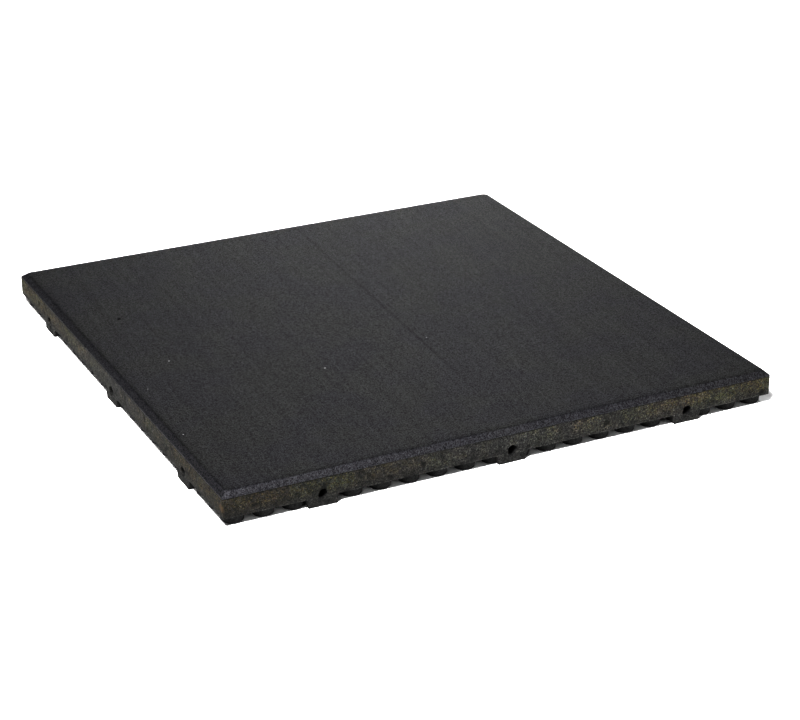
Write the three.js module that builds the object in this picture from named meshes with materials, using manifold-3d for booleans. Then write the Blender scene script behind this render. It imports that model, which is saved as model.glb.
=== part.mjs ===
// Rubber gym floor tile: a square two-layer tile of bonded crumb rubber, in millimetres, +Z up.
// The thick base layer is coarse crumb. It stands on rows of round feet, and along each side it has
// solid pads with blind sockets, in which loose connecting pins join one tile to the next.
// The thin wear layer on top is fine compact crumb with a bevelled rim.
// The origin is on the floor, under the middle of the tile.
import * as THREE from 'three';
import { mergeVertices } from 'three/addons/utils/BufferGeometryUtils.js';
import Module from 'manifold-3d';

const wasm = await Module();
wasm.setup();

// Overall sizes
const TILE_SIDE = 500;
const CORNER_RADIUS = 1.5;
const CORNER_STEPS = 3;

// Heights of the layers, from the floor up
const FOOT_HEIGHT = 8;
const SLAB_THICKNESS = 17;
const WEAR_THICKNESS = 5;

// Rim of the wear layer: a short upright lip, then a bevel whose upper edge is rounded off
const LIP_HEIGHT = 0.6;
const BEVEL_WIDTH = 4.6;
const TOP_CORNER_RADIUS = 5;
const RIM_ROUNDING = 3;
const RIM_STEPS = 3;

// Feet: round studs in straight rows, narrower at the tip, with a gap between their roots
const FOOT_ROOT_DIAMETER = 20;
const FOOT_TIP_DIAMETER = 17.5;
const FOOT_GAP = 5;
const FOOT_SIDES = 6;

// Pin pads and their sockets, the same on all four sides. Widths are at the slab and at the floor,
// and the socket's height is that of its axis above the floor.
const PADS_PER_SIDE = 3;
const PAD_ROOT_WIDTH = 27.5;
const PAD_TIP_WIDTH = 24;
const PAD_END_WALL = 6;
const SOCKET_DIAMETER = 8;
const SOCKET_DEPTH = 38;
const SOCKET_HEIGHT = 10.8;
const SOCKET_SIDES = 12;

// How far feet and pads reach up into the slab, so that they fuse with it, how far a cut starts
// outside the side, and the distance under which two points are one
const FUSE_DEPTH = 1;
const CUT_MARGIN = 1;
const MERGE_DISTANCE = 1e-4;

const half = TILE_SIDE / 2;
const slabTop = FOOT_HEIGHT + SLAB_THICKNESS;
const feetPerSide = Math.floor(TILE_SIDE / (FOOT_ROOT_DIAMETER + FOOT_GAP));
const footPitch = TILE_SIDE / feetPerSide;
const padPitch = TILE_SIDE / PADS_PER_SIDE;

// Turns a closed three.js geometry into a solid that can be joined and cut.
function toSolid(geometry) {
  const bare = geometry.index ? geometry.toNonIndexed() : geometry.clone();
  bare.deleteAttribute('normal');
  bare.deleteAttribute('uv');
  const merged = mergeVertices(bare, MERGE_DISTANCE);
  return new wasm.Manifold(new wasm.Mesh({
    numProp: 3,
    vertProperties: new Float32Array(merged.attributes.position.array),
    triVerts: new Uint32Array(merged.index.array),
  }));
}

// Turns a solid back into a geometry with flat-shaded faces.
function toGeometry(solid) {
  const mesh = solid.getMesh();
  const geometry = new THREE.BufferGeometry();
  geometry.setAttribute('position', new THREE.BufferAttribute(new Float32Array(mesh.vertProperties), 3));
  geometry.setIndex(new THREE.BufferAttribute(new Uint32Array(mesh.triVerts), 1));
  const flat = geometry.toNonIndexed();
  flat.computeVertexNormals();
  return flat;
}

// The plan of the tile at a given inset from its sides: a square whose corners are rounded,
// more so towards the top of the bevel.
function planOutline(inset) {
  const reach = half - inset;
  const radius = CORNER_RADIUS + (TOP_CORNER_RADIUS - CORNER_RADIUS) * inset / BEVEL_WIDTH;
  const outline = [];
  for (let corner = 0; corner < 4; corner++) {
    const middle = new THREE.Vector2(reach - radius, reach - radius);
    middle.rotateAround(new THREE.Vector2(), corner * Math.PI / 2);
    for (let step = 0; step <= CORNER_STEPS; step++) {
      const angle = (corner + step / CORNER_STEPS) * Math.PI / 2;
      outline.push(new THREE.Vector2(
        middle.x + radius * Math.cos(angle),
        middle.y + radius * Math.sin(angle),
      ));
    }
  }
  return outline;
}

// A flat plate with the tile's plan, from the height low to the height high.
function plate(low, high) {
  const shape = new THREE.Shape(planOutline(0));
  const geometry = new THREE.ExtrudeGeometry(shape, { depth: high - low, bevelEnabled: false });
  geometry.translate(0, 0, low);
  return geometry;
}

// A solid that joins several outlines of equally many points, each at its own height.
function loft(levels) {
  const count = levels[0].outline.length;
  const positions = levels.flatMap(({ outline, z }) => outline.flatMap((p) => [p.x, p.y, z]));
  const faces = [];
  for (let level = 0; level + 1 < levels.length; level++) {
    for (let i = 0; i < count; i++) {
      const a = level * count + i;
      const b = level * count + (i + 1) % count;
      faces.push(a, b, b + count, a, b + count, a + count);
    }
  }
  const top = (levels.length - 1) * count;
  for (let i = 1; i + 1 < count; i++) {
    faces.push(0, i + 1, i);
    faces.push(top, top + i, top + i + 1);
  }
  const geometry = new THREE.BufferGeometry();
  geometry.setAttribute('position', new THREE.Float32BufferAttribute(positions, 3));
  geometry.setIndex(faces);
  const flat = geometry.toNonIndexed();
  flat.computeVertexNormals();
  return flat;
}

// Inset and height of the rim's levels: the lip, the bevel, and the arc that rounds it into the top.
function rimLevels() {
  const tileTop = slabTop + WEAR_THICKNESS;
  const slope = Math.atan2(WEAR_THICKNESS - LIP_HEIGHT, BEVEL_WIDTH);
  const setback = RIM_ROUNDING * Math.tan(slope / 2);
  const levels = [[0, slabTop], [0, slabTop + LIP_HEIGHT]];
  for (let step = 0; step <= RIM_STEPS; step++) {
    const angle = slope * (1 - step / RIM_STEPS);
    levels.push([
      BEVEL_WIDTH + setback - RIM_ROUNDING * Math.sin(angle),
      tileTop - RIM_ROUNDING * (1 - Math.cos(angle)),
    ]);
  }
  return levels.map(([inset, z]) => ({ outline: planOutline(inset), z }));
}

// One foot: a stud that narrows towards the floor and runs up into the slab.
function foot(x, y) {
  const height = FOOT_HEIGHT + FUSE_DEPTH;
  const draft = (FOOT_ROOT_DIAMETER - FOOT_TIP_DIAMETER) / 2 / FOOT_HEIGHT;
  const topRadius = FOOT_TIP_DIAMETER / 2 + draft * height;
  const geometry = new THREE.CylinderGeometry(topRadius, FOOT_TIP_DIAMETER / 2, height, FOOT_SIDES);
  geometry.rotateX(Math.PI / 2);
  geometry.translate(x, y, height / 2);
  return geometry;
}

// One pin pad on the -Y side, flush with it, drafted on its two flanks and at its back.
function pad(x) {
  const height = FOOT_HEIGHT + FUSE_DEPTH;
  const draft = (PAD_ROOT_WIDTH - PAD_TIP_WIDTH) / 2 / FOOT_HEIGHT;
  const outlineAt = (z) => {
    const reach = PAD_TIP_WIDTH / 2 + draft * z;
    const back = -half + SOCKET_DEPTH + PAD_END_WALL + draft * z;
    return [
      new THREE.Vector2(x - reach, -half),
      new THREE.Vector2(x + reach, -half),
      new THREE.Vector2(x + reach, back),
      new THREE.Vector2(x - reach, back),
    ];
  };
  return loft([{ outline: outlineAt(0), z: 0 }, { outline: outlineAt(height), z: height }]);
}

// The blind round socket in a pad, which starts a little outside the side so that the cut is clean.
function socket(x) {
  const length = SOCKET_DEPTH + CUT_MARGIN;
  const radius = SOCKET_DIAMETER / 2;
  const geometry = new THREE.CylinderGeometry(radius, radius, length, SOCKET_SIDES);
  geometry.translate(x, -half + SOCKET_DEPTH - length / 2, SOCKET_HEIGHT);
  return geometry;
}

// Copies what make(x) gives at each pad place to all four sides.
function onAllSides(make) {
  const copies = [];
  for (let side = 0; side < 4; side++) {
    for (let i = 0; i < PADS_PER_SIDE; i++) {
      const geometry = make((i + 0.5) * padPitch - half);
      geometry.rotateZ(side * Math.PI / 2);
      copies.push(toSolid(geometry));
    }
  }
  return copies;
}

// All the feet, in rows and columns of one pitch over the whole underside.
function feet() {
  const copies = [];
  for (let row = 0; row < feetPerSide; row++) {
    for (let column = 0; column < feetPerSide; column++) {
      copies.push(toSolid(foot((column + 0.5) * footPitch - half, (row + 0.5) * footPitch - half)));
    }
  }
  return copies;
}

const slab = toSolid(plate(FOOT_HEIGHT, slabTop));
const baseSolid = wasm.Manifold.union([slab, ...feet(), ...onAllSides(pad)])
  .subtract(wasm.Manifold.union(onAllSides(socket)));

const baseLayer = new THREE.Mesh(
  toGeometry(baseSolid),
  new THREE.MeshStandardMaterial({ color: 0x45433a, roughness: 0.95, metalness: 0 }),
);
baseLayer.name = 'base_layer';

const wearLayer = new THREE.Mesh(
  loft(rimLevels()),
  new THREE.MeshStandardMaterial({ color: 0x2f3033, roughness: 0.75, metalness: 0 }),
);
wearLayer.name = 'wear_layer';

const tile = new THREE.Group();
tile.add(baseLayer, wearLayer);

export default tile;
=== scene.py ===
import math
import bmesh
import bpy
from mathutils import Matrix, Vector, noise


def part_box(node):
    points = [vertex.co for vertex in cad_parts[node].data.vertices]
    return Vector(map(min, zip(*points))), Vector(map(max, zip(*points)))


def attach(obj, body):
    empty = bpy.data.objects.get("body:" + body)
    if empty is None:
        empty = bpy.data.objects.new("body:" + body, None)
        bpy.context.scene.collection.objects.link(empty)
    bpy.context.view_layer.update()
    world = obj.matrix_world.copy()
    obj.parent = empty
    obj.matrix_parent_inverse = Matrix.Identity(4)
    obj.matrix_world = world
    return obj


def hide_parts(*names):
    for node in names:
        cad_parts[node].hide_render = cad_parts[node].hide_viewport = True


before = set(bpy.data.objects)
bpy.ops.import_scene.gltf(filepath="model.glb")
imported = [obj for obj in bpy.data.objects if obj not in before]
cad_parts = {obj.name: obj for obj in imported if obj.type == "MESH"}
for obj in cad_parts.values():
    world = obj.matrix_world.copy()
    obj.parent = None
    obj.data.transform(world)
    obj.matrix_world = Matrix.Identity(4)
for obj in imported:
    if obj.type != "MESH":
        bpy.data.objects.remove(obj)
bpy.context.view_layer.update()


# Base layer
# The thick lower layer is coarse crumb of shredded tyres, bound with resin and pressed in a mould
# in one piece with its round feet and the pads along its sides. Each pad has a blind socket for the
# loose pins that join one tile to the next.
base_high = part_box("base_layer")[1]
base_reach = base_high.x
base_top = base_high.z
foot_height = 0.008
side_corner_radius = 0.0015
touching = 1e-6

# Feet: each ring is a height above the floor and a radius, from under the root to the rounded tip
foot_rows = 20
foot_root_radius = 0.010
foot_rim_cuts = 3
foot_rings = ((0.0074, 0.0096), (0.0009, 0.0089), (0.0, 0.0081))
side_mesh_size = 0.001

# Pads: their undersides are worn, and lie a hair above the tips of the feet
pads_per_side = 3
pad_root_width = 0.0275
pad_tip_width = 0.024
pad_depth = 0.044
pad_overlap = 0.0008
pad_lift = 0.00012
pad_wear = 0.0008
pad_wear_size = 0.004
pad_mesh_size = 0.00135

# Sockets: each is cut from a little outside the side inwards, in short steps with uneven walls
socket_radius = 0.004
socket_depth = 0.038
socket_height = 0.0108
socket_sides = 20
socket_step = 0.00195
socket_start = 0.001
socket_roughness = 0.0016

# Crumb: how much crevices, sunk crumbs, fine grain and open pores each add to a pit
crumb_size = 0.0017
fine_crumb_size = 0.0009
sunk_variety = 3.7
crevice_width = 0.3
pore_size = 0.006
pore_place = Vector((7, 3, 5))
pore_rarity = 0.25
pore_gain = 2.2
crevice_share = 0.34
sunk_share = 0.26
fine_share = 0.14
pore_share = 0.6

# Depth of the pits and of the wear along sharp edges and under the joint, and where the smooth
# moulded face, which painted shade darkens, begins behind the sides
crumb_depth = 0.0004
edge_wear = 0.0002
sharp_angle = 1
joint_wear = 0.0006
skin_and_shade_start = 0.0006
skin_and_shade_full = 0.0018


def points_of(geometry):
    """The vertices in what a mesh operator gives back."""
    return [item for item in geometry if isinstance(item, bmesh.types.BMVert)]


def open_edges(mesh):
    return [edge for edge in mesh.edges if edge.is_boundary]


def round_corner(point, reach, radius):
    """Moves a point of a square's outline onto the same outline with round corners."""
    core = reach - radius
    near = Vector((max(-core, min(core, point.co.x)), max(-core, min(core, point.co.y))))
    spoke = point.co.to_2d() - near
    if min(abs(spoke.x), abs(spoke.y)) > touching:
        point.co.xy = near + spoke.normalized() * radius


def shape_foot(face, height, radius):
    """Makes the face a level disc, of the given height and radius, under its own middle."""
    centre = face.calc_center_median()
    for point in face.verts:
        spoke = (point.co - centre).to_2d().normalized() * radius
        point.co = (centre.x + spoke.x, centre.y + spoke.y, height)


def make_slab_with_feet():
    """Feet drawn down out of a grid, then the sides drawn up from its outline and closed on top."""
    mesh = bmesh.new()
    bmesh.ops.create_grid(mesh, x_segments=foot_rows, y_segments=foot_rows, size=base_reach)
    bmesh.ops.translate(mesh, verts=mesh.verts, vec=(0, 0, foot_height))
    bmesh.ops.reverse_faces(mesh, faces=mesh.faces)
    feet = mesh.faces[:]
    foot_pitch = 2 * base_reach / foot_rows
    bmesh.ops.inset_individual(mesh, faces=feet, thickness=foot_pitch / 2 - foot_root_radius)
    rims = [edge for face in feet for edge in face.edges]
    bmesh.ops.bisect_edges(mesh, edges=rims, cuts=foot_rim_cuts)
    for face in feet:
        shape_foot(face, foot_height, foot_root_radius)
    for height, radius in foot_rings:
        feet = bmesh.ops.extrude_discrete_faces(mesh, faces=feet)["faces"]
        for face in feet:
            shape_foot(face, height, radius)

    bmesh.ops.bisect_edges(mesh, edges=open_edges(mesh), cuts=round(foot_pitch / side_mesh_size) - 1)
    for edge in open_edges(mesh):
        for point in edge.verts:
            round_corner(point, base_reach, side_corner_radius)
    wall_height = base_top - foot_height
    wall_steps = round(wall_height / side_mesh_size)
    for _ in range(wall_steps):
        wall = bmesh.ops.extrude_edge_only(mesh, edges=open_edges(mesh))["geom"]
        bmesh.ops.translate(mesh, verts=points_of(wall), vec=(0, 0, wall_height / wall_steps))
    bmesh.ops.holes_fill(mesh, edges=open_edges(mesh), sides=0)
    return mesh


def on_each_side(make):
    """One mesh that holds the shape at each pad's place along all four sides."""
    joined = bmesh.new()
    carrier = bpy.data.meshes.new("carrier")
    for side in range(4):
        turn = Matrix.Rotation(side * math.pi / 2, 3, "Z")
        for place in range(pads_per_side):
            shape = make(base_reach * (2 * (place + 0.5) / pads_per_side - 1))
            bmesh.ops.rotate(shape, verts=shape.verts, matrix=turn)
            bmesh.ops.recalc_face_normals(shape, faces=shape.faces)
            shape.to_mesh(carrier)
            shape.free()
            joined.from_mesh(carrier)
    bpy.data.meshes.remove(carrier)
    return joined


def make_pad(along):
    """A drafted block flush with the -Y side, with a worn underside."""
    mesh = bmesh.new()
    bmesh.ops.create_cube(mesh, size=1)
    height = foot_height + pad_overlap
    for axis, length in enumerate((pad_tip_width, pad_depth, height)):
        lines = [edge for edge in mesh.edges if abs((edge.verts[0].co - edge.verts[1].co)[axis]) > 0.5]
        cuts = round(length / pad_mesh_size) - 1
        bmesh.ops.subdivide_edges(mesh, edges=lines, cuts=cuts, use_grid_fill=True)
    draft = (pad_root_width - pad_tip_width) / 2 / foot_height
    for point in mesh.verts:
        lift = pad_lift
        if point.co.z < 0:
            place = Vector((along + point.co.x * pad_tip_width, point.co.y * pad_depth, 0))
            lift += pad_wear * max(0, noise.noise(place / pad_wear_size))
        z = lift + (point.co.z + 0.5) * (height - lift)
        x = along + 2 * point.co.x * (pad_tip_width / 2 + draft * z)
        y = (point.co.y + 0.5) * (pad_depth + draft * z) - base_reach
        point.co = (x, y, z)
    return mesh


def make_socket(along):
    """A rough-walled blind hole, as the solid that is cut out of a pad."""
    mesh = bmesh.new()
    bmesh.ops.create_circle(mesh, cap_ends=True, radius=socket_radius, segments=socket_sides)
    bmesh.ops.rotate(mesh, verts=mesh.verts, matrix=Matrix.Rotation(math.pi / 2, 3, "X"))
    bmesh.ops.translate(mesh, verts=mesh.verts, vec=(along, -base_reach - socket_start, socket_height))
    for _ in range(round((socket_depth + socket_start) / socket_step)):
        wall = bmesh.ops.extrude_edge_only(mesh, edges=open_edges(mesh))["geom"]
        bmesh.ops.translate(mesh, verts=points_of(wall), vec=(0, socket_step, 0))
    bmesh.ops.holes_fill(mesh, edges=open_edges(mesh), sides=0)
    for point in mesh.verts:
        centre = Vector((along, point.co.y, socket_height))
        bump = 1 + noise.noise(point.co / (2 * crumb_size)) * socket_roughness / socket_radius
        point.co = centre + (point.co - centre) * bump
    return mesh


def shown_object(name, mesh):
    """An object in the scene that holds the mesh. The mesh is used up."""
    data = bpy.data.meshes.new(name)
    mesh.to_mesh(data)
    mesh.free()
    made = bpy.data.objects.new(name, data)
    bpy.context.scene.collection.objects.link(made)
    return made


def combined(mesh, other, operation):
    """The mesh after a boolean with the other mesh. Both are used up."""
    body = shown_object("boolean_body", mesh)
    tool = shown_object("boolean_tool", other)
    boolean = body.modifiers.new("boolean", "BOOLEAN")
    boolean.operation = operation
    boolean.object = tool
    boolean.solver = "EXACT"
    result = bmesh.new()
    result.from_object(body, bpy.context.evaluated_depsgraph_get())
    for used in (body, tool):
        bpy.data.meshes.remove(used.data)
    # A boolean gives its points in an order that changes, so they are put in one that does not
    for place, point in enumerate(sorted(result.verts, key=lambda point: point.co[:])):
        point.index = place
    result.verts.sort()
    return result


def crumb_pit(place):
    """How deep the crumb lies back at a place, from 0 to 1."""
    distances, centres = noise.voronoi(place / crumb_size)
    crevice = 1 - min(1, (distances[1] - distances[0]) / crevice_width)
    sunk = 0.5 + 0.5 * noise.noise(centres[0] * sunk_variety)
    fine = 0.5 + 0.5 * noise.noise(place / fine_crumb_size)
    pore = max(0, noise.noise(place / pore_size + pore_place) - pore_rarity) * pore_gain
    pit = crevice_share * crevice + sunk_share * sunk + fine_share * fine + pore_share * pore
    return min(1, pit)


def is_edge(point):
    """True on an outward corner, where the crumb wears off."""
    return any(edge.is_manifold and edge.calc_face_angle_signed() > sharp_angle
               for edge in point.link_edges)


def skin_and_shade_share(place):
    """1 where the mould closed the crumb and painted shade darkens it, 0 on the cut sides."""
    depth = base_reach - max(abs(place.x), abs(place.y))
    share = (depth - skin_and_shade_start) / (skin_and_shade_full - skin_and_shade_start)
    return max(0, min(1, share)) if place.z < base_top - side_mesh_size else 0


def add_node(tree, kind, settings, inputs):
    """Adds a shader node. Each input is a value, or the socket that feeds it."""
    made = tree.nodes.new("ShaderNode" + kind)
    for name, value in settings.items():
        setattr(made, name, value)
    for name, value in inputs.items():
        if isinstance(value, bpy.types.NodeSocket):
            tree.links.new(value, made.inputs[name])
        else:
            made.inputs[name].default_value = value
    return made


def mixed(tree, blend, factor, first, second):
    """Mixes two colours, each a value or a socket."""
    mix = add_node(tree, "Mix", {"data_type": "RGBA", "blend_type": blend}, {})
    for place, value in ((0, factor), (6, first), (7, second)):
        if isinstance(value, bpy.types.NodeSocket):
            tree.links.new(value, mix.inputs[place])
        else:
            mix.inputs[place].default_value = value
    return mix.outputs[2]


def picked_colour(tree, factor, stops):
    """One of several colours. Each stop is the factor from which a colour holds, and the colour."""
    made = add_node(tree, "ValToRGB", {}, {"Fac": factor})
    made.color_ramp.interpolation = "CONSTANT"
    while len(made.color_ramp.elements) < len(stops):
        made.color_ramp.elements.new(1)
    for element, (place, colour) in zip(made.color_ramp.elements, stops):
        element.position = place
        element.color = (*colour, 1)
    return made.outputs["Color"]


def ranged(tree, value, low, high, new_low, new_high):
    """Maps low and high to new_low and new_high, and holds the value between those."""
    made = add_node(tree, "MapRange", {}, {
        "Value": value, "From Min": low, "From Max": high, "To Min": new_low, "To Max": new_high})
    return made.outputs["Result"]


def maths(tree, operation, *values, clamp=False):
    made = add_node(tree, "Math", {"operation": operation, "use_clamp": clamp}, dict(enumerate(values)))
    return made.outputs["Value"]


def times(tree, first, second):
    return maths(tree, "MULTIPLY", first, second)


def soft_noise(tree, place, size, detail):
    made = add_node(tree, "TexNoise", {}, {"Vector": place, "Scale": 1 / size, "Detail": detail})
    return made.outputs["Fac"]


def stored(tree, name):
    """The value that the mesh holds under the name."""
    return add_node(tree, "Attribute", {"attribute_name": name}, {}).outputs["Fac"]


def random_cells(tree, place, size):
    """Two random values that are constant inside each cell of about the given size."""
    cells = add_node(tree, "TexVoronoi", {}, {"Vector": place, "Scale": 1 / size})
    picked = add_node(tree, "SeparateColor", {}, {"Color": cells.outputs["Color"]})
    return picked.outputs["Red"], picked.outputs["Green"]


def spot(tree, place, middle, radius):
    """1 in the middle of a round spot, and 0 from its radius outwards."""
    away = add_node(tree, "VectorMath", {"operation": "DISTANCE"}, {0: place, 1: middle})
    return ranged(tree, away.outputs["Value"], radius / 2, radius, 1, 0)


# Colours of the crumb, and the part of all specks from which each is used
black_crumb = (0.010, 0.010, 0.010)
dark_crumb = (0.022, 0.022, 0.021)
grey_crumb = (0.048, 0.048, 0.046)
olive_crumb = (0.044, 0.042, 0.020)
ochre_crumb = (0.074, 0.059, 0.026)
umber_crumb = (0.062, 0.046, 0.025)
pink_crumb = (0.070, 0.056, 0.049)
pale_crumb = (0.092, 0.086, 0.072)
crumb_palette = (
    (0.00, black_crumb), (0.20, dark_crumb), (0.44, olive_crumb), (0.60, grey_crumb),
    (0.74, umber_crumb), (0.83, ochre_crumb), (0.91, pink_crumb), (0.975, pale_crumb))
crumb_speck_size = 0.0012
crumb_fine_speck_size = 0.0007
crumb_hue_size = 0.03
olive_tint = (0.94, 1.03, 0.92, 1)
orange_tint = (1.04, 0.99, 0.93, 1)

# Where the colours are full, and where they are nearly grey
crumb_patch_size = 0.011
crumb_grey = (0.036, 0.036, 0.036, 1)
greying = 0.85
crumb_warm_low = 0.008
crumb_warm_high = 0.016
middle_warmth = 0.1
corner_warmth = 1.1
patch_warmth = 0.3
low_warmth = 0.05

# What makes the crumb lighter or darker
crumb_brightness = 1.45
crumb_low_shade = 0.62
# Painted light: the crumb is made lighter towards +X and +Y, for light that grows along the sides
painted_light_slopes = (("X", 0.32), ("Y", 0.38))
patch_contrast = 0.28
fine_speck_dark = 0.4
fine_speck_light = 1.62
# Painted shade: the crumb is darkened in its pits, the more the deeper they are
pit_start = 0.3
pit_full = 0.95
pit_shade = 0.25
# Painted highlight along the slab's lower edge, for the light it catches from the bright floor
painted_edge_highlight = 1.6
edge_highlight_width = 0.0009
# Painted shade: a broken dark line under the joint, for the shadow in the groove
joint_shadow_width = 0.001
joint_shadow_shade = 0.3

# The painted highlight at the near corner, the painted shade under the tile, and the surface
corner_highlight_place = (-0.2502, -0.2468, 0.0165)
corner_highlight_radius = 0.004
corner_highlight_colour = (0.100, 0.060, 0.030, 1)
corner_highlight_cover = 0.4
painted_shade_colour = (0.011, 0.011, 0.011, 1)
painted_shade_dark = 0.2
painted_shade_light = 2.2
painted_shade_cover = 0.92
crumb_roughness = 0.9
crumb_specular = 0.35
crumb_bump = 0.0008
crumb_bump_strength = 0.5


def crumb_material():
    material = bpy.data.materials.new("base_crumb")
    material.use_nodes = True
    tree = material.node_tree
    shader = tree.nodes["Principled BSDF"]
    place = add_node(tree, "TexCoord", {}, {}).outputs["Object"]
    along = add_node(tree, "SeparateXYZ", {}, {"Vector": place}).outputs
    coarse, coarse_value = random_cells(tree, place, crumb_speck_size)
    fine, fine_value = random_cells(tree, place, crumb_fine_speck_size)
    patches = soft_noise(tree, place, crumb_patch_size, 3)
    low_part = ranged(tree, along["Z"], crumb_warm_low, crumb_warm_high, 0, 1)

    # Coarse and fine specks of many rubbers, a little greener or more orange from place to place
    colour = mixed(tree, "MIX", 0.5, picked_colour(tree, coarse, crumb_palette),
                   picked_colour(tree, fine, crumb_palette))
    hues = soft_noise(tree, place, crumb_hue_size, 2)
    tint = mixed(tree, "MIX", ranged(tree, hues, 0.4, 0.6, 0, 1), olive_tint, orange_tint)
    colour = mixed(tree, "MULTIPLY", 1, colour, tint)

    # The colours are full near the corners of the tile and on the upper part of its sides, and
    # nearly grey on the lower part
    corner = maths(tree, "ABSOLUTE", times(tree, along["X"], along["Y"]))
    warmth = maths(tree, "MULTIPLY_ADD", corner, corner_warmth / base_reach ** 2, middle_warmth)
    warmth = maths(tree, "ADD", warmth, ranged(
        tree, patches, 0.35, 0.65, -patch_warmth, patch_warmth), clamp=True)
    warmth = times(tree, warmth, ranged(tree, low_part, 0, 1, low_warmth, 1))
    colour = mixed(tree, "MIX", warmth, mixed(tree, "SATURATION", greying, colour, crumb_grey), colour)

    # The crumb is darker low down and in patches, darker in its pits by painted shade, and lighter
    # towards +X and +Y by painted light
    shade = ranged(tree, low_part, 0, 1, crumb_low_shade, 1)
    for axis, slope in painted_light_slopes:
        shade = times(tree, shade, ranged(
            tree, along[axis], -base_reach, base_reach, 1 - slope, 1 + slope))
    shade = times(tree, shade, ranged(
        tree, patches, 0.3, 0.7, 1 - patch_contrast, 1 + patch_contrast))
    shade = times(tree, shade, ranged(tree, fine_value, 0, 1, fine_speck_dark, fine_speck_light))
    # Painted shade: darker where the pit is deeper
    shade = times(tree, shade, ranged(tree, stored(tree, "pit"), pit_start, pit_full, 1, pit_shade))
    shade = times(tree, shade, crumb_brightness)

    # Painted highlight: a pale band along the lower edge of the slab, for the light that edge catches
    # from the bright floor; painted shade: a broken dark line under the joint, for the groove's shadow
    above = maths(tree, "SUBTRACT", along["Z"], foot_height + edge_highlight_width / 2)
    edge = ranged(tree, maths(tree, "ABSOLUTE", above), edge_highlight_width / 3, edge_highlight_width, painted_edge_highlight, 1)
    shade = times(tree, shade, edge)
    joint_shadow = ranged(tree, along["Z"], base_top - joint_shadow_width, base_top, 0, 1)
    joint_shadow = times(tree, joint_shadow, ranged(tree, patches, 0.42, 0.55, 0, 1))
    shade = times(tree, shade, ranged(tree, joint_shadow, 0, 0.6, 1, joint_shadow_shade))
    colour = mixed(tree, "MULTIPLY", 1, colour, shade)

    # Painted highlight: one orange-brown spot at the near corner; painted shade: the moulded feet,
    # pads and underside, which lie in the tile's shadow, are made dark
    corner_highlight = times(tree, spot(tree, place, corner_highlight_place, corner_highlight_radius), corner_highlight_cover)
    colour = mixed(tree, "MIX", corner_highlight, colour, corner_highlight_colour)
    dark = mixed(tree, "MULTIPLY", 1, painted_shade_colour, ranged(
        tree, fine_value, 0, 1, painted_shade_dark, painted_shade_light))
    colour = mixed(tree, "MIX", times(tree, stored(tree, "skin_and_shade"), painted_shade_cover), colour, dark)
    tree.links.new(colour, shader.inputs["Base Color"])
    shader.inputs["Roughness"].default_value = crumb_roughness
    shader.inputs["Specular IOR Level"].default_value = crumb_specular

    height = maths(tree, "MULTIPLY_ADD", fine_value, 0.5, coarse_value)
    bump = add_node(tree, "Bump", {}, {
        "Height": height, "Distance": crumb_bump, "Strength": crumb_bump_strength})
    tree.links.new(bump.outputs["Normal"], shader.inputs["Normal"])
    return material


base = make_slab_with_feet()
bmesh.ops.recalc_face_normals(base, faces=base.faces)
base = combined(base, on_each_side(make_pad), "UNION")
base = combined(base, on_each_side(make_socket), "DIFFERENCE")
bmesh.ops.remove_doubles(base, verts=base.verts, dist=side_mesh_size / 20)
pits = base.verts.layers.float.new("pit")
skin_and_shade_layer = base.verts.layers.float.new("skin_and_shade")

# Each point goes in by the depth of its pit, but the feet's tips and the joint stay in their planes
moves = []
for point in base.verts:
    pit = crumb_pit(point.co)
    point[skin_and_shade_layer] = skin_and_shade_share(point.co)
    depth = crumb_depth * pit * (1 - point[skin_and_shade_layer] / 2) + edge_wear * is_edge(point)
    # Painted shade: at the joint a higher pit value darkens the crumb, for the groove's shadow
    if point.co.z > base_top - touching:
        depth += joint_wear * pit
        pit = min(1, 0.5 + pit)
    point[pits] = pit
    moves.append(-point.normal * depth)
for point, move in zip(base.verts, moves):
    if point.co.z < touching or point.co.z > base_top - touching:
        move.z = 0
    point.co += move
for face in base.faces:
    face.smooth = True
for edge in base.edges:
    edge.smooth = not edge.is_manifold or edge.calc_face_angle() < sharp_angle

base_piece = shown_object("base_layer_crumb", base)
base_piece.data.materials.append(crumb_material())
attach(base_piece, "root")
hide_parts("base_layer")


# Wear layer
# The thin top layer is fine compact crumb, pressed onto the base while both are still soft, so it
# follows the base without a seam of glue. Its rim has a short upright lip and a bevel that the mould
# rounds off into the flat top.
wear_low, wear_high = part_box("wear_layer")
wear_reach = wear_high.x
tile_top = wear_high.z
lip_height = 0.0006
bevel_width = 0.0046
bevel_steps = 4
top_corner_radius = 0.005
rim_rounding = 0.003
rim_steps = 4
top_mesh_size = 0.005
rim_mesh_size = 0.00125
wear_relief = 0.00012
lip_wear = 0.0004


def rim_profile():
    """Inset from the side and height of each line along the rim, from the flat top down."""
    drop = tile_top - wear_low.z - lip_height
    slope = math.atan2(drop, bevel_width)
    setback = rim_rounding * math.tan(slope / 2)
    profile = []
    for step in range(rim_steps + 1):
        angle = slope * step / rim_steps
        profile.append((bevel_width + setback - rim_rounding * math.sin(angle),
                        tile_top - rim_rounding * (1 - math.cos(angle))))
    inset, height = profile[-1]
    for step in range(1, bevel_steps + 1):
        share = 1 - step / bevel_steps
        lip_top = wear_low.z + lip_height
        profile.append((inset * share, lip_top + (height - lip_top) * share))
    profile.append((0, wear_low.z))
    return profile


def corner_radius_at(inset):
    return side_corner_radius + (top_corner_radius - side_corner_radius) * inset / bevel_width


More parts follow.
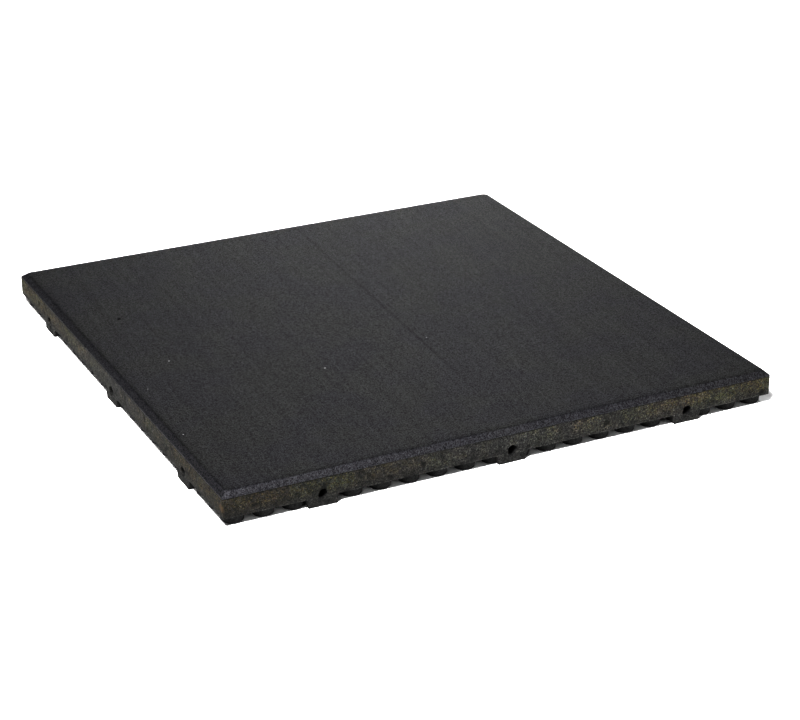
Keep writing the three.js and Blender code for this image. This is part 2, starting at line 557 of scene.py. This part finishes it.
def make_wear_layer():
    """The flat top as a grid, with the rim drawn down from its outline, line by line."""
    mesh = bmesh.new()
    profile = rim_profile()
    top_reach = wear_reach - profile[0][0]
    cells = round(2 * top_reach / top_mesh_size)
    bmesh.ops.create_grid(mesh, x_segments=cells, y_segments=cells, size=top_reach)
    bmesh.ops.translate(mesh, verts=mesh.verts, vec=(0, 0, tile_top))
    bmesh.ops.bisect_edges(mesh, edges=open_edges(mesh), cuts=round(top_mesh_size / rim_mesh_size) - 1)
    square = mesh.verts.layers.float_vector.new("square")
    for point in {point for edge in open_edges(mesh) for point in edge.verts}:
        point[square] = point.co / top_reach
        round_corner(point, top_reach, corner_radius_at(profile[0][0]))
    for inset, height in profile[1:]:
        ring = points_of(bmesh.ops.extrude_edge_only(mesh, edges=open_edges(mesh))["geom"])
        reach = wear_reach - inset
        for point in ring:
            point.co = (point[square].x * reach, point[square].y * reach, height)
            round_corner(point, reach, corner_radius_at(inset))
    bmesh.ops.holes_fill(mesh, edges=open_edges(mesh), sides=0)
    bmesh.ops.recalc_face_normals(mesh, faces=mesh.faces)
    return mesh


# Colour and sheen of the crumb, with more sheen on the rim, and the size of its grains and patches
wear_colour = (0.0290, 0.0290, 0.0305, 1)
wear_blue = (0.0270, 0.0270, 0.0330, 1)
wear_brightness = 0.12
wear_roughness = 0.66
wear_specular = 0.43
wear_gloss_tint = (0.935, 0.92, 1, 1)
rim_gloss = 1.63
rim_gloss_start = 0.0001
rim_gloss_full = 0.0008
gloss_contrast = 0.6
wear_pit_shade = 0.25
wear_grain = 0.0008
wear_contrast = 1
wear_patch_size = 0.045
wear_bump = 0.0002

# Streaks and seam: they run along Y, but drift towards +X by streak_turn times their length
streak_turn = 0.0495
streak_width = 0.0035
streak_length = 0.35
streak_contrast = 0.1
seam_place = 0.0177
seam_width = 0.002
seam_shade = 0.78
seam_fade_start = -0.17
seam_fade_end = -0.09

# Specks on the flat top, each a place in X and Y and a radius
speck_colour = (0.3, 0.3, 0.3, 1)
pale_specks = (
    (-0.1981, -0.0040, 0.0010), (-0.0851, -0.0766, 0.0010), (0.0215, -0.0574, 0.0007),
    (-0.2343, -0.0493, 0.0006), (-0.2389, -0.1421, 0.0007))
dark_specks = ((-0.2053, 0.1015, 0.0022),)


def wear_material():
    material = bpy.data.materials.new("wear_surface")
    material.use_nodes = True
    tree = material.node_tree
    shader = tree.nodes["Principled BSDF"]
    place = add_node(tree, "TexCoord", {}, {}).outputs["Object"]
    along = add_node(tree, "SeparateXYZ", {}, {"Vector": place}).outputs
    grain, grain_height = random_cells(tree, place, wear_grain)
    patches = soft_noise(tree, place, wear_patch_size, 3)

    # Faint straight streaks and one longer seam, nearly along Y, which fades out towards -Y
    across = maths(tree, "MULTIPLY_ADD", along["Y"], -streak_turn, along["X"])
    lengthwise = times(tree, along["Y"], streak_width / streak_length)
    streak_place = add_node(tree, "CombineXYZ", {}, {"X": across, "Y": lengthwise})
    streaks = soft_noise(tree, streak_place.outputs["Vector"], streak_width, 3)
    streak_shade = ranged(tree, streaks, 0.3, 0.7, 1 - streak_contrast, 1 + streak_contrast)
    offset = maths(tree, "ABSOLUTE", maths(tree, "SUBTRACT", across, seam_place))
    seam = ranged(tree, offset, seam_width / 2, seam_width, 1, 0)
    seam = times(tree, seam, ranged(tree, along["Y"], seam_fade_start, seam_fade_end, 0, 1))
    streak_shade = times(tree, streak_shade, ranged(tree, seam, 0, 1, 1, seam_shade))

    # Black crumb with a bluish cast in patches, and a few pale specks
    colour = mixed(tree, "MIX", ranged(tree, patches, 0.4, 0.6, 0, 1), wear_colour, wear_blue)
    shade = times(tree, streak_shade, ranged(tree, grain, 0, 1, 1 - wear_contrast, 1 + wear_contrast))
    # Painted shade: the pit value, set only along the lip's lower edge, darkens it for the groove's
    # shadow
    shade = times(tree, shade, ranged(
        tree, stored(tree, "pit"), 0, 1, wear_brightness, wear_brightness * wear_pit_shade))
    colour = mixed(tree, "MULTIPLY", 1, colour, shade)
    for x, y, radius in pale_specks:
        speck = spot(tree, place, (x, y, tile_top), radius)
        colour = mixed(tree, "MIX", speck, colour, speck_colour)
    tree.links.new(colour, shader.inputs["Base Color"])
    shader.inputs["Roughness"].default_value = wear_roughness

    # The sheen changes from grain to grain, is stronger and bluish on the rim, and is gone in a
    # dark speck
    rim = ranged(tree, along["Z"], tile_top - rim_gloss_full, tile_top - rim_gloss_start, 1, 0)
    gloss = ranged(tree, grain_height, 0, 1, 1 - gloss_contrast, 1 + gloss_contrast)
    gloss = times(tree, gloss, wear_specular)
    gloss = times(tree, gloss, ranged(tree, rim, 0, 1, 1, rim_gloss))
    gloss = times(tree, gloss, streak_shade)
    for x, y, radius in dark_specks:
        speck = spot(tree, place, (x, y, tile_top), radius)
        gloss = times(tree, gloss, ranged(tree, speck, 0, 1, 1, 0))
    tree.links.new(gloss, shader.inputs["Specular IOR Level"])
    tint = maths(tree, "ADD", rim, ranged(tree, patches, 0.4, 0.6, -0.1, 0.9), clamp=True)
    tint = mixed(tree, "MIX", tint, (1, 1, 1, 1), wear_gloss_tint)
    tree.links.new(tint, shader.inputs["Specular Tint"])

    bump = add_node(tree, "Bump", {}, {
        "Height": grain_height, "Distance": wear_bump, "Strength": 1})
    tree.links.new(bump.outputs["Normal"], shader.inputs["Normal"])
    return material


wear = make_wear_layer()
pits = wear.verts.layers.float.new("pit")

# The rim has the same pits as the base, but much shallower, and its lower edge is worn at the joint
# and gets a high pit value, which the material darkens as painted shade for the groove's shadow
moves = []
for point in wear.verts:
    is_rim = max(abs(point.co.x), abs(point.co.y)) > wear_reach - bevel_width - rim_rounding
    pit = crumb_pit(point.co) if is_rim else 0
    depth = wear_relief * pit
    if point.co.z < wear_low.z + touching:
        depth += lip_wear * pit
        point[pits] = min(1, 0.5 + pit)
    moves.append(-point.normal * depth)
for point, move in zip(wear.verts, moves):
    if point.co.z < wear_low.z + touching or point.co.z > tile_top - touching:
        move.z = 0
    point.co += move
for face in wear.faces:
    face.smooth = True

wear_piece = shown_object("wear_layer_surface", wear)
wear_piece.data.materials.append(wear_material())
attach(wear_piece, "root")
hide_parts("wear_layer")


# Floor, light and camera
# The tile lies alone on a plain pale studio floor. The main light is a softbox high at the front
# left. Weak ones fill in from the low front right, from the left, from behind and from overhead.
floor_reach = 8
floor_colour = (0.92, 0.92, 0.92, 1)

floor_mesh = bmesh.new()
bmesh.ops.create_grid(floor_mesh, x_segments=1, y_segments=1, size=floor_reach)
floor = shown_object("floor", floor_mesh)
floor_material = bpy.data.materials.new("floor")
floor_material.use_nodes = True
floor_shader = floor_material.node_tree.nodes["Principled BSDF"]
floor_shader.inputs["Base Color"].default_value = floor_colour
floor_shader.inputs["Roughness"].default_value = 0.9
floor_shader.inputs["Specular IOR Level"].default_value = 0.1
floor.data.materials.append(floor_material)

world_strength = 0.07
world = bpy.data.worlds.new("studio")
world.use_nodes = True
world.node_tree.nodes["Background"].inputs["Color"].default_value = (1, 1, 1, 1)
world.node_tree.nodes["Background"].inputs["Strength"].default_value = world_strength
bpy.context.scene.world = world


def add_softbox(name, direction, distance, size, power):
    """A round lamp that looks at the middle of the tile from the given direction."""
    light = bpy.data.lights.new(name, "AREA")
    light.shape = "DISK"
    light.size = size
    light.energy = power
    lamp = bpy.data.objects.new(name, light)
    lamp.location = Vector(direction).normalized() * distance
    lamp.rotation_mode = "QUATERNION"
    lamp.rotation_quaternion = (-lamp.location).to_track_quat("-Z", "Y")
    bpy.context.scene.collection.objects.link(lamp)


add_softbox("key_softbox", (-0.41, -0.42, 0.8), 2.4, 0.65, 185)
add_softbox("front_softbox", (0.45, -0.86, 0.22), 2.6, 1.4, 28)
add_softbox("left_softbox", (-0.8, -0.75, 0.42), 2.4, 1.2, 17)
add_softbox("back_softbox", (0.34, 0.92, 0.14), 2.6, 1.0, 22.5)
add_softbox("back_high_softbox", (0.53, 0.78, 0.34), 2.6, 0.9, 18)
add_softbox("top_softbox", (0.55, -0.05, 0.83), 2.4, 0.9, 17)

# The camera of the photograph
camera_azimuth = math.radians(-26.56)
camera_elevation = math.radians(24.25)
camera_distance = 1.901
camera_aim = Vector((0.00893, -0.03072, 0))
camera_back = Vector((math.sin(camera_azimuth) * math.cos(camera_elevation),
                      -math.cos(camera_azimuth) * math.cos(camera_elevation),
                      math.sin(camera_elevation)))
camera_data = bpy.data.cameras.new("camera")
camera_data.sensor_width = 36
camera_data.lens = 96.29
camera = bpy.data.objects.new("camera", camera_data)
camera.location = camera_aim + camera_distance * camera_back
camera.rotation_mode = "QUATERNION"
camera.rotation_quaternion = (-camera_back).to_track_quat("-Z", "Y")
bpy.context.scene.collection.objects.link(camera)
bpy.context.scene.camera = camera
bpy.context.scene.view_settings.view_transform = "Standard"
bpy.context.scene.view_settings.gamma = 0.6
